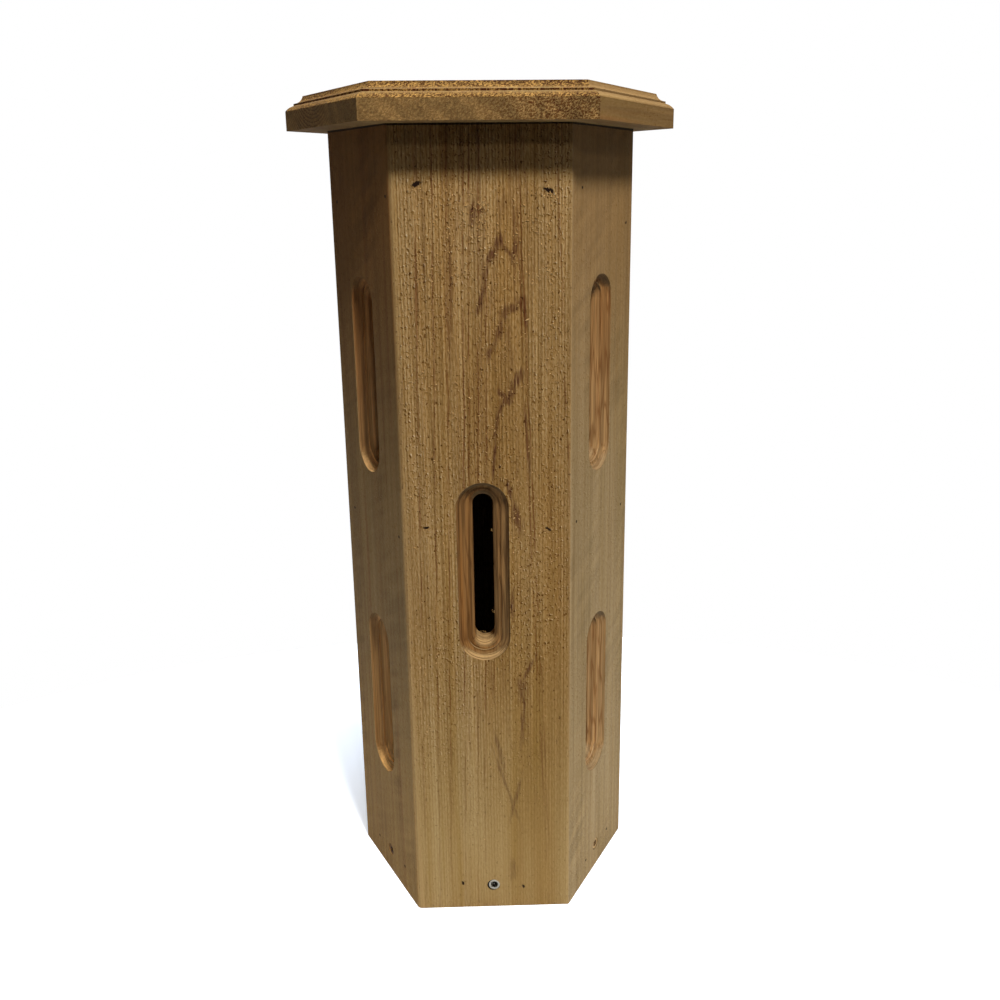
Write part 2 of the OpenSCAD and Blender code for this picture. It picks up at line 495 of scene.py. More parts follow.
@dataclass
class Figure:
    """What a board's look is drawn from: each value is a node or a socket of its tree.

    Add adds a node to the tree, and seed shifts the noises so that no two boards are alike.
    Point is the place in board coordinates, in millimetres, and x, y and z are its parts. Near
    is how near the heart is and late where the late wood is. Ridge, groove and grit are the
    tool's marks. Torn, lifted and shaded are where fibre is torn out, lifted and in the shade
    of lifted fibre, and rough is how coarse it is. Cut, end and edge are 1 in a routed slot,
    on end grain and on a rubbed arris, and up is 1 where the board's end faces up.
    """

    add: partial
    seed: float
    point: Value
    x: Value
    y: Value
    z: Value
    near: Value = 0.0
    late: Value = 0.0
    ridge: Value = 0.0
    groove: Value = 0.0
    grit: Value = 0.0
    torn: Value = 0.0
    lifted: Value = 0.0
    shaded: Value = 0.0
    rough: Value = 1.0
    cut: Value = 0.0
    end: Value = 0.0
    up: Value = 0.0
    edge: Value = 0.0

    def noise(self, noise: Noise, point: Value | None = None) -> Node:
        """Draws a noise.

        Args:
            noise: what it is like.
            point: another place to draw it at.

        Returns:
            Its value, from 0 to 1.
        """
        place = [point or self.point, noise.per_mm, (self.seed,) * 3]
        texture = {
            "Vector": self.add("VectorMath MULTIPLY_ADD", place),
            "Scale": 1.0,
            "Detail": noise.detail,
            "Roughness": noise.harsh,
            "Distortion": noise.bent,
        }
        level = [self.add("TexNoise", texture), noise.low, noise.high]
        return self.add("MapRange", level, interpolation_type="SMOOTHSTEP")

    def close(self, value: Value, middle: float, near: float, far: float) -> Node:
        """Tells how close a value is to a middle.

        Args:
            value: the value.
            middle: the middle.
            near: how far off it still counts in full.
            far: how far off it no longer counts.

        Returns:
            1 where it is close and 0 where it is not.
        """
        off = self.add("Math SUBTRACT", [value, middle])
        off = self.add("Math ABSOLUTE", [off])
        return self.add("MapRange", [off, far, near])

    def lines(self, lines: Lines) -> Node:
        """Draws thin lines along the grain: 1 in a line and 0 beside it."""
        return self.close(self.noise(Noise(lines.per_mm, 0.0, 1.0, 1.0)), 0.5, 0.0, lines.reach)

    def shade(self, colour: Value, value: Value, low: float, high: Value, share: Value = 1.0) -> Node:
        """Dims or lights a colour by a value.

        Args:
            colour: the colour.
            value: the value, from 0 to 1.
            low: what the colour is multiplied by where the value is 0.
            high: what it is multiplied by where the value is 1.
            share: how much of that is done.

        Returns:
            The new colour.
        """
        shade = self.add("MapRange", [value, 0.0, 1.0, low, high])
        return self.add("Mix", {"Factor": share, "A": colour, "B": shade}, blend_type="MULTIPLY")

    def tint(self, colour: Value, value: Value, share: Value, tone: str | Value) -> Node:
        """Mixes a tone into a colour where a value is high.

        Args:
            colour: the colour.
            value: the value, from 0 to 1.
            share: how much of the tone goes in where the value is 1.
            tone: the tone, as a hex colour or a node.

        Returns:
            The new colour.
        """
        much = self.add("Math", [value, share])
        tone = linear(tone) if isinstance(tone, str) else tone
        return self.add("Mix", {"Factor": much, "A": colour, "B": tone})

    def nearest(self, spots: tuple[Spot, ...], fray: Value, reach: float, soft: float = 1.15) -> Node:
        """Works out how near the nearest of some spots is.

        Args:
            spots: the spots.
            fray: a value from 0 to 1 that shifts the rims.
            reach: how far it shifts them, as a share of a spot's size.
            soft: where a spot ends, as a share of its size.

        Returns:
            1 in a spot and 0 outside, with a frayed rim.
        """
        least = BEYOND
        for spot in spots:
            place = {
                "Vector": self.point,
                "Location": (spot.x, 0.0, spot.z),
                "Rotation": (0.0, math.radians(spot.lean), 0.0),
                "Scale": (spot.width, SPOT_DEPTH, spot.height),
            }
            turned = self.add("Mapping", place, vector_type="TEXTURE")
            far = self.add("VectorMath LENGTH", [turned]).outputs["Value"]
            least = self.add("Math MINIMUM", [far, least])
        least = self.add("Math MULTIPLY_ADD", [fray, reach, least])
        return self.add("MapRange", [least, soft + reach / 2, SPOT_CORE + reach / 2])


@dataclass(frozen=True)
class Cedar:
    """Western red cedar, unfinished and air-dried: a matt, open softwood.

    The growth rings are one solid pattern through the board, so its face, its routed slots
    and its end grain agree. Thin brown late wood shows as lines, and as broad ragged patches
    where an arch closes. A sawn face keeps the blade's ridges and lifted fibre, which catch
    the light; a routed one is fresh and warmer; end grain drinks the light and is darker.

    The slots are at the place slots_at across the board. In them step is how much shade is
    painted in the ogee's step, or how much light where it is below 0, dull how much of the pale
    tone the right side takes, painted light on the side that lies in shade, rim how light the
    left side is, painted shade on the side that the key lamp lights, sill how light the lower
    end is, painted light where the end grain faces up while the upper end is painted in shade,
    and wavy how strongly the rings show. Holes are nail holes, painted as dark spots: painted
    shade of holes that the mesh doesn't have. Flames are patches of late wood, veins the places
    of its darkest lines and stains warm stains. Rubbed is the width of the left arris and gap
    the height of the black line under the roof: painted shade of an opening between roof and
    wall that the mesh doesn't have. The tint of the top is painted shade, warmer and darker
    towards the roof, and the tint of the foot is painted shade that takes back light bounced up
    from the table. From the depth inside on, within the house, the board is painted in deep shade.
    """

    name: str
    tones: Tones
    rings: GrowthRings
    surface: Surface
    lie: Lie
    length: float
    width: float
    slots_at: float | None = None
    step: float = 0.3
    shaded_side_lift: float = 0.0
    rim: float = 1.0
    sill: float = 0.9
    wavy: float = 0.65
    holes: tuple[Spot, ...] = ()
    flames: tuple[Spot, ...] = ()
    veins: tuple[float, ...] = ()
    stains: tuple[Spot, ...] = ()
    rubbed: float = 1.6
    roof_gap_shade: float = 0.8
    roof_shade_tint: str = WHITE
    foot: str = WHITE
    inside: float = 18.2

    def material(self) -> bpy.types.Material:
        """Builds the material, with its pattern in the board's own coordinates.

        Returns:
            The material.
        """
        material, add = new_tree(self.name)
        f = self._figure(add)
        colour = self._wear_and_painted_shade(f, self._routed(f, self._face(f)))
        bump = add("Bump", {"Height": self._relief(f), "Strength": 1.0, "Distance": MM})
        look = {"Base Color": colour, "Roughness": 0.85, "Normal": bump, "Specular IOR Level": 0.08}
        add("OutputMaterial", {"Surface": add("BsdfPrincipled", look)})
        return material

    def _figure(self, add: partial) -> Figure:
        """Lays out what the look is drawn from.

        Args:
            add: adds a node to the material's tree.

        Returns:
            The board's figure.
        """
        zero = self.lie.turn @ self.lie.zero / MM
        place = {
            "Vector": add("TexCoord").outputs["Object"],
            "Scale": (1 / MM,) * 3,
            "Rotation": self.lie.turn.to_euler(),
            "Location": -zero,
        }
        point = add("Mapping", place)
        f = Figure(add, self.rings.seed, point, *add("SeparateXYZ", [point]).outputs)
        f.near = self._near_heart(f)
        f.late = self._late_wood(f)
        f.ridge, f.grit, f.torn = f.noise(RIDGES), f.noise(GRIT), f.noise(TORN)
        f.groove = self._grooves(f)
        f.rough = add("MapRange", [f.z, *ROUGH, self.surface.value.calm])
        f.cut = 0.0 if self.slots_at is None else self._slots(f)
        f.edge = self._arrises(f)
        f.end, f.up = self._end_grain(f)
        where = add("MapRange", [f.noise(LIFT_AREAS), 0.0, 1.0, 0.2])
        where = add("Math", [where, f.rough])
        # The painted shadow of each lifted fleck, drawn a little to one side of it.
        aside = add("VectorMath ADD", [point, SHADE_SHIFT])
        f.lifted = add("Math", [f.noise(LIFTED), where])
        f.shaded = add("Math", [f.noise(SHADED, aside), where])
        return f

    def _grooves(self, f: Figure) -> Node:
        """Draws the grooves along the grain: rows that fade in and out, and odd ones.

        Args:
            f: the board's figure.

        Returns:
            1 in a groove.
        """
        place = f.add("VectorMath MULTIPLY", [f.point, ROW_STRETCH])
        rows = f.add("TexWave", {"Vector": place, "Scale": ROW_SCALE, "Distortion": 3.0, "Detail": 1.5})
        rows = f.add("MapRange", [rows.outputs["Fac"], 0.6, 0.97])
        rows = f.add("Math", [rows, f.noise(ROW_AREAS)])
        odd = f.add("Math", [f.lines(ODD_GROOVES), 0.7])
        return f.add("Math MAXIMUM", [rows, odd])

    def _near_heart(self, f: Figure) -> Node:
        """Works out how near the pith's line is across the board.

        Args:
            f: the board's figure.

        Returns:
            1 at the line and less away from it.
        """
        off = f.add("Math SUBTRACT", [f.x, self.rings.heart])
        near = f.add("Math DIVIDE", [off, self.rings.spread])
        near = f.add("Math", [near, near])
        near = f.add("Math", [near, -1.0])
        return f.add("Math EXPONENT", [near])

    def _radius(self, f: Figure) -> Node:
        """Works out the distance from the pith.

        Args:
            f: the board's figure.

        Returns:
            It, in millimetres.
        """
        r = self.rings
        off = f.add("Math SUBTRACT", [f.x, r.heart])
        rise = f.add("Math SUBTRACT", [f.z, r.mid])
        lean = f.add("Math", [rise, rise])
        lean = f.add("Math", [lean, f.near])
        deep = f.add("Math MULTIPLY_ADD", [lean, r.lean, r.deep])
        deep = f.add("Math SUBTRACT", [deep, f.y])
        flat = f.add("CombineXYZ", [off, deep])
        radius = f.add("VectorMath LENGTH", [flat]).outputs["Value"]
        radius = f.add("Math MULTIPLY_ADD", [f.noise(RING_SWAY), r.waver * 4, radius])
        reach = f.add("MapRange", [f.near, 0.0, 1.0, r.ragged, r.ragged * 4])
        return f.add("Math MULTIPLY_ADD", [f.noise(RING_FRAY), reach, radius])

    def _late_wood(self, f: Figure) -> Node:
        """Draws the late wood: it darkens through the year, stops short at its end and varies.

        Args:
            f: the board's figure.

        Returns:
            How dark it is.
        """
        r = self.rings
        count = f.add("Math MULTIPLY_ADD", [self._radius(f), 1 / r.width, r.phase])
        part = f.add("Math FRACT", [count])
        year = f.add("Math FLOOR", [count])
        luck = f.add("TexWhiteNoise", {"W": year}, noise_dimensions="1D").outputs["Value"]
        swell = f.add("MapRange", [part, r.early, LATE_END], interpolation_type="SMOOTHSTEP")
        line = f.add("Math", [swell, f.add("MapRange", [part, LATE_END, 1.0, 1.0, 0.0])])
        depth = f.add("MapRange", [luck, 0.0, 1.0, 0.1])
        patch = f.add("MapRange", [f.noise(LATE_PATCHES), 0.0, 1.0, 0.2])
        depth = f.add("Math", [depth, patch])
        core = f.add("MapRange", [f.near, *AT_HEART, 0.0, r.core])
        depth = f.add("Math MAXIMUM", [depth, core])
        return f.add("Math", [line, depth])

    def _slots(self, f: Figure) -> Node:
        """Finds the routed slots: below the face, and near the middle of the board."""
        across = f.close(f.x, self.slots_at, SLOT_REACH, SLOT_REACH + 0.5)
        return f.add("Math", [across, f.add("MapRange", [f.y, 0.1, 0.5])])

    def _end_grain(self, f: Figure) -> tuple[Node, Node]:
        """Finds the faces that cut across the grain.

        Args:
            f: the board's figure.

        Returns:
            1 on them, and 1 where they face up.
        """
        normal = f.add("NewGeometry").outputs["True Normal"]
        facing = f.add("VectorMath DOT_PRODUCT", [normal, self.lie.grain]).outputs["Value"]
        either = f.add("Math ABSOLUTE", [facing])
        return f.add("MapRange", [either, 0.3, 0.6]), f.add("MapRange", [facing, 0.2, 0.6])

    def _arrises(self, f: Figure) -> Node:
        """Finds the rubbed arrises: narrow bands, the left one wider and with a wavy border.

        Args:
            f: the board's figure.

        Returns:
            1 on them.
        """
        half = self.width / 2
        place = f.add("Math MULTIPLY_ADD", [f.noise(ARRIS_WAVE), -1.2, f.x])
        left = f.add("MapRange", [place, self.rubbed - half, self.rubbed - half - 0.6])
        right = f.add("MapRange", [f.x, half - 1.3, half - 0.7])
        return f.add("Math MAXIMUM", [left, right])

    def _face(self, f: Figure) -> Node:
        """Mixes the colour of the face: early wood, streaks, late wood and the tool's marks.

        Args:
            f: the board's figure.

        Returns:
            The colour.
        """
        tones, t = self.tones, self.surface.value
        deep = f.add("Math MULTIPLY_ADD", [f.near, 0.55, f.noise(DEEP_AREAS)])
        deep = f.add("Math", [deep, 0.7], use_clamp=True)
        colour = f.add("Mix", {"Factor": deep, "A": linear(tones.pale), "B": linear(tones.deep)})
        colour = f.tint(colour, f.noise(STREAKS), 0.5, tones.streak)
        band = f.noise(BANDS)
        share = f.add("Math", [f.rough, f.rough])
        swing = 0.06 + 0.04 * t.contrast
        colour = f.shade(colour, band, 1 - swing, 1 + swing, share)
        near = f.add("MapRange", [f.near, *AT_HEART])
        dark = f.add("Mix", {"Factor": near, "A": linear(tones.late), "B": linear(tones.flame)})
        share = f.add("Math", [share, 0.75 * t.contrast])
        colour = f.tint(colour, f.late, share, dark)
        line = f.add("Math", [f.lines(DARK_LINES), f.noise(LINE_AREAS)])
        colour = f.tint(colour, line, share, tones.late)
        if self.stains:
            colour = f.tint(colour, f.nearest(self.stains, band, 0.6, 2.2), 0.3, tones.streak)
        if self.flames:
            colour = self._flamed(f, colour)
        colour = f.add("Mix", {"Factor": f.rough, "A": colour, "B": self._marks(f)}, blend_type="MULTIPLY")
        if not t.curl:
            return colour
        slant = f.add("Mapping", {"Vector": f.point, "Rotation": (0.0, 0.5, 0.0)})
        wave, where = f.noise(WAVY_FIGURE, slant), f.noise(WAVY_AREAS)
        return f.shade(colour, wave, 1.0 + 0.5 * t.curl, 1.0 - t.curl, where)

    def _flamed(self, f: Figure, colour: Node) -> Node:
        """Adds the flames, in which pale fibre shows, and the veins, which break off in places.

        Args:
            f: the board's figure.
            colour: the face's colour.

        Returns:
            The colour.
        """
        calm = f.add("MapRange", [f.rough, self.surface.value.calm, 1.0, 0.5])
        flame = f.nearest(self.flames, f.noise(FLAME_FRAY), 1.3, 1.7)
        fibre = f.add("MapRange", [f.noise(FLAME_FIBRE), 0.0, 1.0, 1.0, 0.5])
        fibre = f.add("Math", [fibre, calm])
        colour = f.tint(colour, flame, fibre, self.tones.flame)
        broken = f.add("Math", [f.noise(VEIN_BREAKS), 0.85])
        broken = f.add("Math", [broken, f.rough])
        return f.tint(colour, self._veins(f), broken, self.tones.vein)

    def _veins(self, f: Figure) -> Node:
        """Draws the darkest late wood as thin lines that lean towards the heart as they rise.

        Args:
            f: the board's figure.

        Returns:
            1 in a line.
        """
        rise = f.add("Math ADD", [f.z, -VEIN_HEIGHT])
        lean = f.add("MapRange", [f.x, *VEIN_LEAN])
        place = f.add("Math MULTIPLY_ADD", [rise, lean, f.x])
        place = f.add("Math MULTIPLY_ADD", [f.noise(VEIN_SWAY), 1.2, place])
        ramp = f.add("ValToRGB", [f.add("MapRange", [place, -VEIN_SPAN, VEIN_SPAN])])
        stops = ramp.color_ramp.elements
        stops[1].color = (0, 0, 0, 1)
        for vein in self.veins:
            for reach, level in ((-VEIN_REACH, 0), (0.0, 1), (VEIN_REACH, 0)):
                share = (vein + reach + VEIN_SPAN) / (2 * VEIN_SPAN)
                stops.new(share).color = (level, level, level, 1)
        return ramp

    def _marks(self, f: Figure) -> Node:
        """Works out the shade of the tool's marks and torn fibre, with the painted highlight and shadow of
        lifted fibre: the darker, the redder.

        Args:
            f: the board's figure.

        Returns:
            The shade, as a colour.
        """
        much, torn = self.surface.value.contrast, self.surface.value.torn
        shade = 1.0
        for mark, share, low, high in (
            (f.ridge, much, -0.06, 0.05),
            (f.groove, much, 0.0, -0.36),
            (f.grit, much, -0.22, 0.16),
            (f.torn, torn, 0.0, -0.65),
            # Painted shadow beside lifted flecks, and the flecks lightened: partly paler fibre, partly
            # painted highlight.
            (f.shaded, torn, 0.0, -0.6),
            (f.lifted, torn, 0.0, 0.6),
        ):
            part = f.add("MapRange", [mark, 0.0, 1.0, 1 + low * share, 1 + high * share])
            shade = f.add("Math", [part, shade])
        green = f.add("Math POWER", [shade, 1.35])
        blue = f.add("Math POWER", [shade, 2.1])
        return f.add("CombineColor", [shade, green, blue])

    def _routed(self, f: Figure, colour: Node) -> Node:
        """Adds the routed slots: fresh wood, ring lines, the cutter's rings and the step, with painted light
        and shade on their sides, ends and step.

        Args:
            f: the board's figure.
            colour: the face's colour.

        Returns:
            The colour.
        """
        if self.slots_at is None:
            return colour
        tones, much = self.tones, self.surface.value.contrast
        rim = f.add("MapRange", [f.x, *(self.slots_at + edge for edge in SLOT_RIM)])
        shaded_side_lift = f.add("MapRange", [f.x, *(self.slots_at + edge for edge in SLOT_LIFT)])
        fresh = f.tint(linear(tones.fresh), f.late, 0.25 + self.wavy, tones.line)
        fresh = f.tint(fresh, f.noise(WARM_AREAS), 0.5, tones.warm)
        # Painted light: the slot's right side, which lies in shade, takes some of the pale tone.
        fresh = f.tint(fresh, shaded_side_lift, self.shaded_side_lift, tones.pale)
        # Painted shade on the slot's left side, which the key lamp lights.
        fresh = f.shade(fresh, rim, 1.0, self.rim)
        fresh = f.shade(fresh, f.ridge, 0.84, 1.05)
        fresh = f.shade(fresh, f.noise(CUTTER_RINGS), 0.88 - 0.4 * much, 1.06 + 0.24 * much)
        fresh = f.tint(fresh, f.lines(RING_LINES), self.wavy, tones.line)
        fresh = f.tint(fresh, f.end, 0.65, tones.pale)
        # Painted light and shade: end grain that faces up is lightened by sill, and end grain that faces
        # down is darkened.
        turned = f.add("MapRange", [f.up, 0.0, 1.0, 0.62, self.sill])
        fresh = f.shade(fresh, f.end, 1.0, turned)
        arcs = f.add("Math", [f.lines(SILL_ARCS), f.end])
        fresh = f.tint(fresh, arcs, 0.3 + 0.5 * much, tones.line)
        # Painted shade in the ogee's step, or painted light where step is below 0.
        fresh = f.shade(fresh, f.close(f.y, STEP_DEPTH, 0.3, 0.8), 1.0, 1.0 - self.step)
        return f.add("Mix", {"Factor": f.cut, "A": colour, "B": fresh})

    def _wear_and_painted_shade(self, f: Figure, colour: Node) -> Node:
        """Adds painted shade as tints of top and foot, rubbed arrises, end grain, painted shade inside the
        house, a painted black line under the roof and painted dark nail holes.

        Args:
            f: the board's figure.
            colour: the colour so far.

        Returns:
            The colour.
        """
        # Painted shade: the top is tinted warmer and darker towards the roof, and the foot tinted to take
        # back light bounced up from the table.
        for reach, tone in ((ROOF_SHADE_HEIGHTS, self.roof_shade_tint), (FOOT, self.foot)):
            much = f.add("MapRange", [f.z, *reach], interpolation_type="SMOOTHSTEP")
            colour = f.add("Mix", {"Factor": much, "A": colour, "B": linear(tone)}, blend_type="MULTIPLY")
        colour = f.tint(colour, f.edge, 0.3, self.tones.pale)
        colour = self._across(f, colour)
        # Painted shade: from the depth inside on, the inside of the house is darkened to a fifth.
        inner = f.add("MapRange", [f.y, self.inside, self.inside + 0.6])
        colour = f.shade(colour, inner, 1.0, 0.2)
        # Painted shade: a black line under the roof, for an opening between roof and wall that the mesh
        # doesn't have.
        line = f.add("Math MULTIPLY_ADD", [f.noise(ROOF_GAP_SHADE_WAVE), self.roof_gap_shade, f.z])
        roof_gap_shade = f.add("MapRange", [line, self.length - 1.0, self.length - 0.5])
        colour = f.shade(colour, roof_gap_shade, 1.0, 0.12)
        if not self.holes:
            return colour
        # Painted shade: dark spots for nail holes that the mesh doesn't have.
        hole = f.nearest(self.holes, f.noise(HOLE_FRAY), 0.6)
        return f.tint(colour, hole, 1.0, self.tones.hole)

    def _across(self, f: Figure, colour: Node) -> Node:
        """Darkens the end grain, but not in the slots."""
        face = f.add("Math SUBTRACT", [1.0, f.cut])
        return f.shade(colour, f.end, 1.0, 0.6, face)

    def _relief(self, f: Figure) -> Node:
        """Works out the height of the face.

        Args:
            f: the board's figure.

        Returns:
            It, in millimetres.
        """
        t = self.surface.value
        height = f.add("Math", [f.ridge, t.ridge])
        for part, reach in (
            (f.groove, -1.2 * t.ridge),
            (f.grit, t.grit),
            (f.torn, -0.25 * t.torn),
            (f.lifted, 0.3 * t.torn),
        ):
            height = f.add("Math MULTIPLY_ADD", [part, reach, height])
        height = f.add("Math", [height, f.rough])
        smooth = f.add("MapRange", [f.edge, 0.0, 1.0, 1.0, 0.4])
        height = f.add("Math", [height, smooth])
        if self.slots_at is None:
            return height
        routed = f.add("Math", [f.ridge, 0.18 * t.contrast])
        return f.add("Mix", {"Factor": f.cut, "A": height, "B": routed}, data_type="FLOAT")


@dataclass(frozen=True)
class RoofCedar(Cedar):
    """The same cedar where the router and the saw went across the grain.

    The routed bands round the top are torn end grain: a yellow fuzz of short leaning fibres
    with dark pits between them, and a row of dark dots in the step. The sawn edge below is
    duller, with the rings' arcs in it on the left, and one coarse strip on the right is full
    of pits. Band and sawn_edge are a light and a dark tone each, and arcs and strip are the
    reaches across the roof, in millimetres, over which the arcs fade and the strip starts.
    """

    band: tuple[str, str] = ("#956f38", "#3a1b05")
    sawn_edge: tuple[str, str] = ("#8d6d40", "#523213")
    pit: str = "#47230b"
    band_depth: float = 9.0
    arcs: tuple[float, float] = (-58.0, -40.0)
    strip: tuple[float, float] = (45.0, 80.0)

    def _fibres(self, f: Figure) -> Node:
        """Draws short torn fibres that lean: 1 between them."""
        slant = f.add("Mapping", {"Vector": f.point, "Rotation": (0.0, 0.0, 0.7)})
        return f.noise(FIBRES, slant)

    def _across(self, f: Figure, colour: Node) -> Node:
        """Colours the end grain: torn bands, a dotted step and the sawn edge.

        Args:
            f: the board's figure.
            colour: the colour so far.

        Returns:
            The colour.
        """
        band = f.add("MapRange", [f.y, self.band_depth + 0.3, self.band_depth])
        strip = f.add("MapRange", [f.x, *self.strip])
        coarse = f.add("Math MAXIMUM", [band, strip])
        tones = zip(self.sawn_edge, self.band)
        light, dark = (f.add("Mix", {"Factor": band, "A": linear(a), "B": linear(b)}) for a, b in tones)
        cross = f.tint(light, self._fibres(f), f.add("MapRange", [coarse, 0.0, 1.0, 0.44, 0.9]), dark)
        cross = f.tint(cross, f.late, f.add("MapRange", [f.x, *self.arcs, 0.85, 0.25]), dark)
        where = f.add("MapRange", [f.noise(PIT_AREAS), 0.0, 1.0, 0.35])
        cross = f.tint(cross, f.noise(PITS), f.add("Math", [where, strip]), self.pit)
        share = f.add("MapRange", [coarse, 0.0, 1.0, 0.4])
        cross = f.shade(cross, f.add("Math", [f.noise(FLECKS), share]), 1.0, 1.5)
        cross = f.shade(cross, f.noise(COLUMNS), 0.74, 1.15, strip)
        slant = f.add("Mapping", {"Vector": f.point, "Rotation": (0.0, 0.0, -0.8)})
        plain = f.add("Math SUBTRACT", [1.0, band])
        cross = f.shade(cross, f.noise(BLOTCHES, slant), 0.84, 1.2, plain)
        step = f.close(f.y, STEP_DEPTH, 0.9, 1.8)
        rim = f.add("MapRange", [f.y, 1.1, 0.3, 0.0, 0.8])
        dotted = f.add("Math MAXIMUM", [step, rim])
        cross = f.tint(cross, dotted, f.noise(DOTS), self.pit)
        return f.add("Mix", {"Factor": f.end, "A": colour, "B": cross})

    def _relief(self, f: Figure) -> Node:
        """Works out the height of the face: the end grain's pits are deep.

        Args:
            f: the board's figure.

        Returns:
            It, in millimetres.
        """
        torn = f.add("Math", [self._fibres(f), f.end])
        torn = f.add("Math", [torn, -0.35])
        return f.add("Math MULTIPLY_ADD", [f.ridge, 0.05, torn])


@dataclass(frozen=True)
class TornFibre:
    """Cedar fibre lifted by a coarse saw: pale, dry and matt, a little uneven in colour."""

    pale: str = "#c49e67"
    dark: str = "#8f6b3a"
    blotch: float = 0.3

    def material(self) -> bpy.types.Material:
        """Builds the material, with blotches about as many to a millimetre as blotch says.

        Returns:
            The material.
        """
        material, add = new_tree("torn_cedar_fibre")
        place = add("TexCoord").outputs["Object"]
        noise = add("TexNoise", {"Vector": place, "Scale": self.blotch / MM, "Detail": 2.0})
        share = add("MapRange", [noise, 0.35, 0.65])
        colour = add("Mix", {"Factor": share, "A": linear(self.pale), "B": linear(self.dark)})
        look = {"Base Color": colour, "Roughness": 0.9, "Specular IOR Level": 0.08}
        add("OutputMaterial", {"Surface": add("BsdfPrincipled", look)})
        return material


@dataclass(frozen=True)
class ZincSteel:
    """Zinc on a steel screw, dulled outdoors: a mid grey metal with painted shade in its recess.

    A brown matt one has no gleam. Recess and rim are the radii of the cross and of the head,
    in millimetres: within the one and outside the other, shade is painted.
    """

    name: str
    middle: Vector
    colour: str = "#a8a294"
    painted_shade: str = "#100c08"
    brown_matt: bool = False
    recess: float = 2.3
    rim: float = 3.6

    def material(self) -> bpy.types.Material:
        """Builds the material, with its recess round the middle of the head.

        Returns:
            The material.
        """
        material, add = new_tree(self.name)
        place = add("TexCoord").outputs["Object"]
        away = add("VectorMath SUBTRACT", [place, self.middle])
        away = add("VectorMath LENGTH", [away]).outputs["Value"]
        wobble = add("TexNoise", {"Vector": place, "Scale": 0.9 / MM, "Detail": 3.0})
        away = add("Math MULTIPLY_ADD", [wobble, 0.6 * MM, away])
        inside = add("MapRange", [away, (self.recess + 0.7) * MM, (self.recess + 0.2) * MM])
        rim = add("MapRange", [away, (self.rim + 0.3) * MM, (self.rim + 0.6) * MM])
        colour = linear(self.colour)
        # Painted shade in the recess and in a ring round the head.
        for where in (inside, rim):
            colour = add("Mix", {"Factor": where, "A": colour, "B": linear(self.painted_shade)})
        look = {
            "Base Color": colour,
            "Metallic": 0.0 if self.brown_matt else add("MapRange", [inside, 0.0, 1.0, 1.0, 0.0]),
            "Roughness": add("MapRange", [wobble, 0.0, 1.0, 0.4, 0.65]),
            "Specular IOR Level": 0.04,
        }
        add("OutputMaterial", {"Surface": add("BsdfPrincipled", look)})
        return material


@dataclass(frozen=True)
class Patch:
    """A part of a face that is strewn with curls of fibre.

    It has a middle, half sizes and a number of curls. Longest is the longest curl, in
    millimetres, and depth how far behind the face they sit.
    """

    x: float
    z: float
    width: float
    height: float
    count: int
    longest: float = 3.0
    depth: float = 0.0


@dataclass
class TornGrain:
    """Small curls of fibre that the saw lifted on a face and that nobody sanded off.

    Slot is where none are: its place across and along the board, half its width and half its
    height. A curl is a spindle with so many stations along it, and so many sides round it.
    """

    lie: Lie
    slot: tuple[float, float, float, float]
    patches: tuple[Patch, ...]
    seed: int
    stations: int = 5
    sides: int = 5

    def build(self, name: str, material: bpy.types.Material) -> None:
        """Builds the curls as one piece, riding on the body.

        Args:
            name: the piece's name.
            material: its finish.
        """
        rng = random.Random(self.seed)
        mesh = bmesh.new()
        for patch in self.patches:
            for _ in range(patch.count):
                x = patch.x + rng.uniform(-1, 1) * patch.width
                z = patch.z + rng.uniform(-1, 1) * patch.height
                if patch.depth or not self._in_slot(x, z):
                    self._curl(mesh, rng, patch, x, z)
        data = bpy.data.meshes.new(name)
        mesh.to_mesh(data)
        mesh.free()
        data.materials.append(material)
        for face in data.polygons:
            face.use_smooth = True
        piece = put(name, data)
        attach(piece, "root")
        log.info("built %s with %d faces", name, len(data.polygons))

    def _in_slot(self, x: float, z: float) -> bool:
        """Tells whether a place is in the mouth of the slot."""
        middle, height, half_width, half_height = self.slot
        return abs(x - middle) < half_width and abs(z - height) < half_height

    def _curl(self, mesh: bmesh.types.BMesh, rng: random.Random, patch: Patch, x: float, z: float) -> None:
        """Adds one curl: a bent spindle, half sunk in the face and lifted at one end.

        Args:
            mesh: what it is added to.
            rng: gives its size and bend.
            patch: the patch it is in.
            x: its place across the board.
            z: its place along the board.
        """
        length = min(patch.longest, 0.7 + rng.expovariate(2.0))
        thick = rng.uniform(0.26, 0.5) * (0.5 if patch.depth else 1.0)
        lean = rng.gauss(0, 0.7)
        bend = rng.uniform(-0.6, 0.6)
        lift = rng.uniform(0.1, 0.6)
        rings = []
        for i in range(self.stations):
            t = i / (self.stations - 1)
            radius = thick * (0.18 + 0.82 * math.sin(math.pi * t) ** 0.7)
            along, side = (t - 0.5) * length, bend * length * (0.25 - (t - 0.5) ** 2)
            cx = x + along * math.sin(lean) + side * math.cos(lean)
            cz = z + along * math.cos(lean) - side * math.sin(lean)
            up = 0.15 * thick + lift * t * t - patch.depth
            ring = []
            for j in range(self.sides):
                turn = 2 * math.pi * j / self.sides
                out = up + radius * math.sin(turn) * 0.8
                flat = math.cos(turn) * radius
                place = self.lie.point(cx + math.cos(lean) * flat, -out, cz - math.sin(lean) * flat)
                ring.append(mesh.verts.new(place))
            rings.append(ring)
        for low, high in zip(rings, rings[1:]):
            for j in range(self.sides):
                k = (j + 1) % self.sides
                mesh.faces.new((low[j], low[k], high[k], high[j]))
        mesh.faces.new(rings[0][::-1])
        mesh.faces.new(rings[-1])


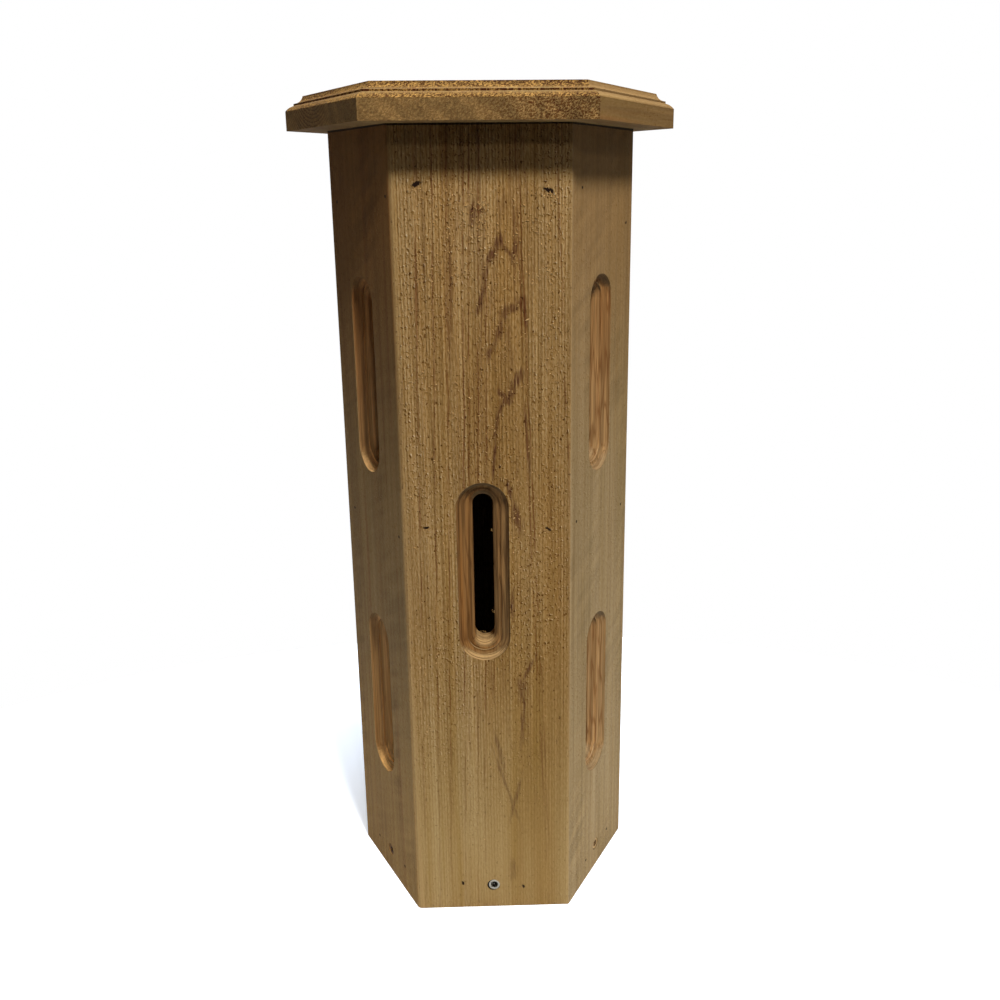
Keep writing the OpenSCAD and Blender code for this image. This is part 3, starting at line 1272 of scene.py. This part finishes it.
@dataclass
class Walls:
    """The six mitred wall boards: the front and back ones sawn, the others planed.

    Slots_at is how far the slots are to the right of the middle of their boards, and
    front_slot the front one's middle height, half width and half height at its mouth.
    """

    house: House
    slots_at: float = -2.6
    front_slot: tuple[float, float, float] = (243.7, 17.5, 60.0)
    sawn: Tones = Tones("#a7895c", "#957343", "#5a3418", "#5c3b24", "#8a672f")
    left: Tones = Tones(
        "#9e8054", "#90734c", "#6c5233", "#6b4a32", "#8a6541", "#c4945c", "#b27a48", "#5d3b20"
    )
    right: Tones = Tones(
        "#a18963", "#947c54", "#755937", "#755635", "#8a6f45", "#9f7c50", "#9a6c3c", "#623a18"
    )
    front_nails: tuple[Spot, ...] = each(
        Spot,
        (-35.6, 475.9, 3.0, 1.4, -25), (37.8, 472.1, 3.3, 1.4, 20), (-36.6, 274.6, 2.0, 0.8, -8),
        (37.1, 272.5, 2.2, 0.8, 40), (-20.6, 19.3, 0.9, 1.7, -10), (20.2, 15.4, 0.9, 1.5, -20),
    )
    left_nails: tuple[Spot, ...] = each(
        Spot, (-34.4, 465.5), (39.3, 469.4), (-33.0, 265.1), (37.9, 266.8), (-19.9, 15.8), (23.4, 19.2)
    )
    other_nails: tuple[Spot, ...] = each(
        Spot, (-31.1, 473.2), (35.0, 451.2), (-35.9, 274.2), (35.2, 263.5), (20.3, 15.6), (-16.3, 15.0)
    )
    flames: tuple[Spot, ...] = each(
        Spot,
        (-4.4, 460.0, 1.4, 6.0, 8), (-0.4, 461.5, 1.8, 1.4), (9.4, 443.5, 2.0, 4.5, 25),
        (5.4, 436.5, 1.8, 5.5, 32), (2.2, 427.0, 1.2, 5.5, 16), (13.6, 440.0, 1.0, 4.5, -36),
        (18.2, 439.0, 1.2, 5.0, 14), (0.6, 417.5, 1.1, 6.0, 10), (-1.8, 409.0, 1.5, 4.5, 18),
        (21.4, 410.0, 2.4, 3.4), (17.2, 407.0, 3.8, 2.0, -10), (12.6, 404.5, 2.0, 3.8, 24),
        (9.0, 393.5, 1.5, 6.5, 14), (24.2, 402.0, 0.9, 6.0, -8), (3.4, 381.5, 1.5, 3.6, 20),
        (19.8, 366.0, 2.0, 4.5, 22), (16.0, 358.5, 1.8, 5.0, 8), (13.4, 352.5, 2.8, 2.0),
        (10.6, 356.0, 1.2, 3.6, -40), (8.6, 346.0, 1.1, 6.0, 18), (14.0, 297.0, 1.4, 6.0, -15),
        (18.0, 280.5, 2.2, 9.5, -12), (15.2, 224.0, 1.0, 8.0), (24.2, 177.0, 1.0, 9.0, 26),
        (20.4, 163.0, 2.2, 8.0), (20.8, 140.0, 1.1, 15.0, 4), (15.4, 83.0, 1.0, 13.0, 14),
        (5.6, 119.0, 1.1, 11.0, -12), (13.3, 29.0, 1.8, 6.0), (10.4, 91.0, 0.8, 20.0, -17),
        (6.8, 338.0, 0.7, 9.0, 14), (5.2, 318.0, 0.8, 14.0, 4), (25.0, 325.0, 0.7, 16.0, -4),
    )
    veins: tuple[float, ...] = (-38.5, -29.0, -21.0, -11.7, -8.6, -3.2, 1.4, 24.0, 26.2, 48.7)
    stains: tuple[Spot, ...] = (Spot(26.0, 225.0, 14.0, 85.0), Spot(-28.0, 215.0, 5.0, 110.0))
    curls: tuple[Patch, ...] = each(
        Patch,
        (0.0, 325.0, 46.0, 150.0, 400), (4.0, 448.0, 42.0, 26.0, 170), (26.0, 330.0, 20.0, 110.0, 170),
        (-1.0, 456.0, 5.5, 11.0, 44, 3.5), (2.9, 214.5, 0.7, 1.2, 5, 1.6, 9.0),
        (3.1, 269.0, 0.6, 1.0, 4, 1.4, 9.0), (-4.5, 200.2, 3.0, 0.4, 8, 1.6, 10.0),
        (-4.0, 110.0, 40.0, 60.0, 10, 4.0), (-36.0, 473.4, 3.2, 0.8, 5, 2.0),
        (38.0, 469.3, 3.4, 0.8, 6, 2.0), (-36.0, 273.4, 2.6, 1.2, 6, 2.0),
        (37.0, 271.0, 2.6, 1.2, 6, 2.0), (-40.0, 137.0, 1.5, 4.0, 4, 6.0),
    )

    def finish_of(self, side: Side) -> Cedar:
        """Chooses the finish of the board on a side.

        Args:
            side: the side.

        Returns:
            The finish.
        """
        rings = {
            Side.FRONT: GrowthRings(2.62, 0.27, 14.0, 17.0, 0.8e-4, waver=0.5, core=0.12),
            Side.FRONT_RIGHT: GrowthRings(2.2, 0.1, 48.0, 45.0, 1e-4, 200.0, seed=3),
            Side.BACK_RIGHT: GrowthRings(2.5, 0.3, -14.0, 38.0, 1.5e-4, 300.0, seed=5),
            Side.BACK: GrowthRings(2.9, 0.2, -10.0, 24.0, 2e-4, 290.0, seed=7),
            Side.BACK_LEFT: GrowthRings(2.3, 0.6, 30.0, 50.0, 1e-4, 180.0, seed=9),
            Side.FRONT_LEFT: GrowthRings(2.2, 0.8, -50.0, 45.0, 1e-4, 260.0, seed=11),
        }[side]
        planed = Cedar(
            name=f"planed_cedar_{side.name.lower()}",
            tones=self.right,
            rings=rings,
            surface=Surface.PLANED,
            lie=self.house.lie(side),
            length=self.house.wall_height,
            width=self.house.width(side),
            slots_at=self.slots_at,
            # Painted light in the slots' step, and painted warm shade at the top under the roof.
            step=-0.35,
            holes=self.other_nails,
            rubbed=1.4,
            roof_shade_tint="#ebdccb",
        )
        if side is Side.FRONT_LEFT:
            # Painted shade on the slot's left side, painted light on its lower end, painted warm shade under
            # the roof and a foot tinted as painted shade.
            look = {"rim": 0.56, "sill": 1.9, "wavy": 0.25, "roof_shade_tint": "#dcc4ab", "foot": "#fff8e6"}
            return replace(planed, tones=self.left, holes=self.left_nails, **look)
        name = f"sawn_cedar_{side.name.lower()}"
        if side is Side.BACK:
            return replace(planed, name=name, tones=self.sawn, surface=Surface.SAWN, slots_at=None)
        if side is not Side.FRONT:
            return planed
        return replace(
            planed,
            name=name,
            tones=self.sawn,
            surface=Surface.SAWN,
            # Painted shade in the step, painted light on the slot's shaded right side and on its lower end,
            # and a foot tinted as painted shade.
            step=0.3,
            shaded_side_lift=0.25,
            sill=1.3,
            wavy=0.5,
            holes=self.front_nails,
            flames=self.flames,
            veins=self.veins,
            stains=self.stains,
            rubbed=2.8,
            roof_shade_tint=WHITE,
            foot="#f0f4ef",
        )

    def dress(self) -> None:
        """Gives each board its finish, and the sawn ones their curls."""
        for side in Side:
            dress(side.node, self.finish_of(side))
        fibre = TornFibre().material()
        for side, slot, seed in (
            (Side.FRONT, (self.slots_at, *self.front_slot), 4),
            (Side.BACK, (0.0, 0.0, 0.0, 0.0), 5),
        ):
            grain = TornGrain(self.house.lie(side), slot, self.curls, seed)
            grain.build(f"torn_grain_{side.name.lower()}", fibre)


@dataclass
class Roof:
    """The roof board, with end grain on its front, left, back and right rear edges.

    Its finish has none of the wear or the painted shade of a wall, so the sizes in it that place
    them are beyond the board.
    """

    house: House
    tones: Tones = Tones("#866b41", "#775a35", "#553a20", "#553a20", "#8a5c30")

    def dress(self) -> None:
        """Gives the roof board its finish."""
        finish = RoofCedar(
            name="planed_cedar_roof",
            tones=self.tones,
            rings=GrowthRings(2.1, 0.3, -62.0, -10.0, core=1.0, early=0.2, spread=60.0, seed=13),
            surface=Surface.PLANED,
            lie=self.house.roof_lie(),
            length=1000.0,
            width=400.0,
            inside=99.0,
        )
        dress("roof_board", finish)


@dataclass
class Floor:
    """The floor board between the feet of the walls, with the finish of the back left one."""

    walls: Walls

    def dress(self) -> None:
        """Gives the floor board its finish."""
        dress("floor_board", replace(self.walls.finish_of(Side.BACK_LEFT), name="planed_cedar_floor"))


@dataclass
class Screws:
    """The six screws that hold the floor, one through each wall.

    Centre is a screw's place across and along its board. The two on the front side boards
    are sunk deeper, brown and without gleam: theirs are the colour of the head and that of the
    painted shade in its recess and round it, the left one's darker as painted shade for the
    left side, which lies in shade.
    """

    house: House
    centre: tuple[float, float] = (0.6, 17.0)
    # Head colour and painted shade of the two brown screws; the left pair is darker, painted shade for the
    # left side.
    left_head_and_shade: tuple[str, str] = ("#7a552f", "#4a321c")
    right_head_and_shade: tuple[str, str] = ("#b39262", "#5f4628")

    def dress(self) -> None:
        """Gives each screw its finish."""
        brown_heads = {Side.FRONT_LEFT: self.left_head_and_shade, Side.FRONT_RIGHT: self.right_head_and_shade}
        x, z = self.centre
        for side in Side:
            look = (*brown_heads[side], True) if side in brown_heads else ()
            zinc = ZincSteel(f"zinc_steel_{side.name.lower()}", self.house.lie(side).point(x, 0.0, z), *look)
            dress(side.node.replace("wall", "screw"), zinc)


@dataclass(frozen=True)
class StudioCamera:
    """The camera, in millimetres and degrees in the house's frame."""

    place: tuple[float, float, float] = (5.81, -617.42, 476.49)
    yaw: float = 1.548
    pitch: float = 14.876
    roll: float = -0.505
    lens: float = 34.053
    shift: tuple[float, float] = (-0.0198, -0.0667)

    def build(self) -> None:
        """Makes the camera and makes it the scene's."""
        data = bpy.data.cameras.new("camera")
        data.lens = self.lens
        data.sensor_width = 36.0
        data.shift_x, data.shift_y = self.shift
        data.clip_start, data.clip_end = 0.01, 50.0
        camera = put("camera", data)
        yaw, roll = math.radians(self.yaw), math.radians(self.roll)
        ahead = direction(180 - self.yaw, -self.pitch)
        right = Vector((math.cos(yaw), -math.sin(yaw), 0))
        up = right.cross(ahead)
        x_axis = math.cos(roll) * right + math.sin(roll) * up
        y_axis = -math.sin(roll) * right + math.cos(roll) * up
        turn = Matrix((x_axis, y_axis, -ahead)).transposed().to_4x4()
        camera.matrix_world = Matrix.Translation(Vector(self.place) * MM) @ turn
        bpy.context.scene.camera = camera


@dataclass(frozen=True)
class Lamp:
    """A round lamp: the way to it from the middle of the house, its distance, size and power."""

    name: str
    azimuth: float
    elevation: float
    distance: float
    size: float
    power: float
    colour: str = WHITE

    def build(self, aim: Vector) -> None:
        """Makes the lamp and points it at a place.

        Args:
            aim: the place.
        """
        data = bpy.data.lights.new(self.name, "AREA")
        data.shape = "DISK"
        data.energy = self.power
        data.color = linear(self.colour)[:3]
        data.size = self.size
        way = direction(self.azimuth, self.elevation)
        lamp = put(self.name, data)
        lamp.location = aim + way * self.distance
        lamp.rotation_euler = way.to_track_quat("Z", "Y").to_euler()


@dataclass(frozen=True)
class Studio:
    """A pale oval table top, a key lamp high on the right, one overhead, a weak sun and a dim warm sky.

    The table is white to the camera but for the shadow on it, by a glow that starts beyond
    the house's foot. Table_size is half its width and depth, and glow_reach the distances
    over which the glow goes from table_glow to full, in metres.
    """

    table_colour: str = "#eff3f9"
    table_size: tuple[float, float] = (0.58, 0.32)
    table_points: int = 96
    table_glow: float = 0.5
    glow_reach: tuple[float, float] = (0.16, 0.26)
    key: Lamp = Lamp("key_lamp", 22.0, 52.5, 2.4, 0.4, 68.0)
    top: Lamp = Lamp("top_lamp", 0.0, 89.0, 1.8, 0.5, 34.0, "#dcebff")
    fill_way: tuple[float, float] = (13.0, 27.4)
    fill_strength: float = 0.3
    fill_angle: float = 2.5
    sky_colour: str = "#ffe2c4"
    sky: float = 0.03

    def build(self, house: House) -> None:
        """Makes the table top, the lamps and the sky.

        Args:
            house: the house, which the lamps point at.
        """
        self._table()
        middle = Vector((0, 0, house.wall_height * MM / 2))
        self.key.build(middle)
        self.top.build(middle)
        data = bpy.data.lights.new("fill_lamp", "SUN")
        data.energy = self.fill_strength
        data.angle = math.radians(self.fill_angle)
        fill = put("fill_lamp", data)
        fill.rotation_euler = direction(*self.fill_way).to_track_quat("Z", "Y").to_euler()
        self._sky()
        bpy.context.scene.view_settings.view_transform = "Standard"
        log.info("built the studio")

    def _sky(self) -> None:
        """Makes the sky: dim and warm on the wood, and white to the camera."""
        world = bpy.data.worlds.new("sky")
        world.use_nodes = True
        world.node_tree.nodes.clear()
        add = partial(add_node, world.node_tree)
        rays = add("LightPath").outputs
        seen = add("Math MAXIMUM", [rays["Is Camera Ray"], rays["Is Glossy Ray"]])
        seen = add("Math MAXIMUM", [seen, rays["Is Transmission Ray"]])
        dim = [c * self.sky for c in linear(self.sky_colour)]
        colour = add("Mix", {"Factor": seen, "A": dim, "B": linear(WHITE)})
        add("OutputWorld", {"Surface": add("Background", {"Color": colour, "Strength": 1.0})})
        bpy.context.scene.world = world

    def _table(self) -> None:
        """Makes the table top, of matt white paint: even and without gleam."""
        wide, deep = self.table_size
        turns = [2 * math.pi * i / self.table_points for i in range(self.table_points)]
        rim = [(wide * math.cos(a), deep * math.sin(a), 0) for a in turns]
        mesh = bpy.data.meshes.new("table_top")
        mesh.from_pydata(rim, [], [tuple(range(self.table_points))])
        material, add = new_tree("matt_white_paint")
        paint = add("BsdfDiffuse", {"Color": linear(self.table_colour)})
        seen = add("LightPath").outputs["Is Camera Ray"]
        place = add("TexCoord").outputs["Object"]
        place = add("VectorMath MULTIPLY", [place, (0.5, 1.0, 1.0)])
        far = add("VectorMath LENGTH", [place]).outputs["Value"]
        far = add("MapRange", [far, *self.glow_reach, self.table_glow])
        light = add("Emission", {"Strength": add("Math", [seen, far])})
        add("OutputMaterial", {"Surface": add("AddShader", [paint, light])})
        mesh.materials.append(material)
        put("table_top", mesh)


def main() -> None:
    """Builds and dresses the house in order."""
    logging.basicConfig(level=logging.INFO, format="%(name)s: %(message)s")
    house = House.measured()
    log.info("measured %s", house)
    StudioCamera().build()
    Studio().build(house)
    walls = Walls(house)
    for part in (walls, Roof(house), Floor(walls), Screws(house)):
        part.dress()


if __name__ == "__main__":
    main()
